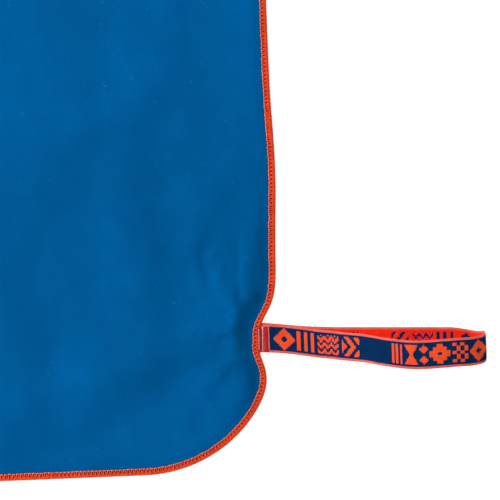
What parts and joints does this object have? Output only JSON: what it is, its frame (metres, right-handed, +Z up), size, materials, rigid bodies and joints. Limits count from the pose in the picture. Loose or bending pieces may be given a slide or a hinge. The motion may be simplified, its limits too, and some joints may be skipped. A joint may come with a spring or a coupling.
{
  "type": "quick dry towel",
  "caption": "Flat suede microfibre travel towel with rounded corners, an overlocked edge and an elastic hanging loop that swings at the seam.",
  "frame": {"origin": "the middle of the underside of the cloth, where the towel lies flat", "axes": "+X out through the edge that carries the loop, +Y along that edge, the towel's length, +Z up through its thickness"},
  "size_m": [0.7614, 0.9, 0.0142],
  "materials": {
    "cloth": "matte",
    "edge_thread": "matte",
    "needle_thread": "matte",
    "elastic_band": "matte",
    "tack_thread": "matte"
  },
  "bodies": {
    "towel": {"towel_panel": "cloth", "overlock_upper_thread": "edge_thread", "overlock_lower_thread": "edge_thread", "overlock_needle_thread": "needle_thread", "loop_band_ends": "elastic_band"},
    "loop": {"loop_band": "elastic_band", "tack_top_thread": "tack_thread", "tack_bobbin_thread": "tack_thread"}
  },
  "joints": [
    {"name": "loop_swing", "type": "hinge", "parent": "towel", "child": "loop", "pos_m": [0.31593, -0.379, 0.0043], "axis": [0, -1, 0], "range_deg": [0, 170]}
  ]
}
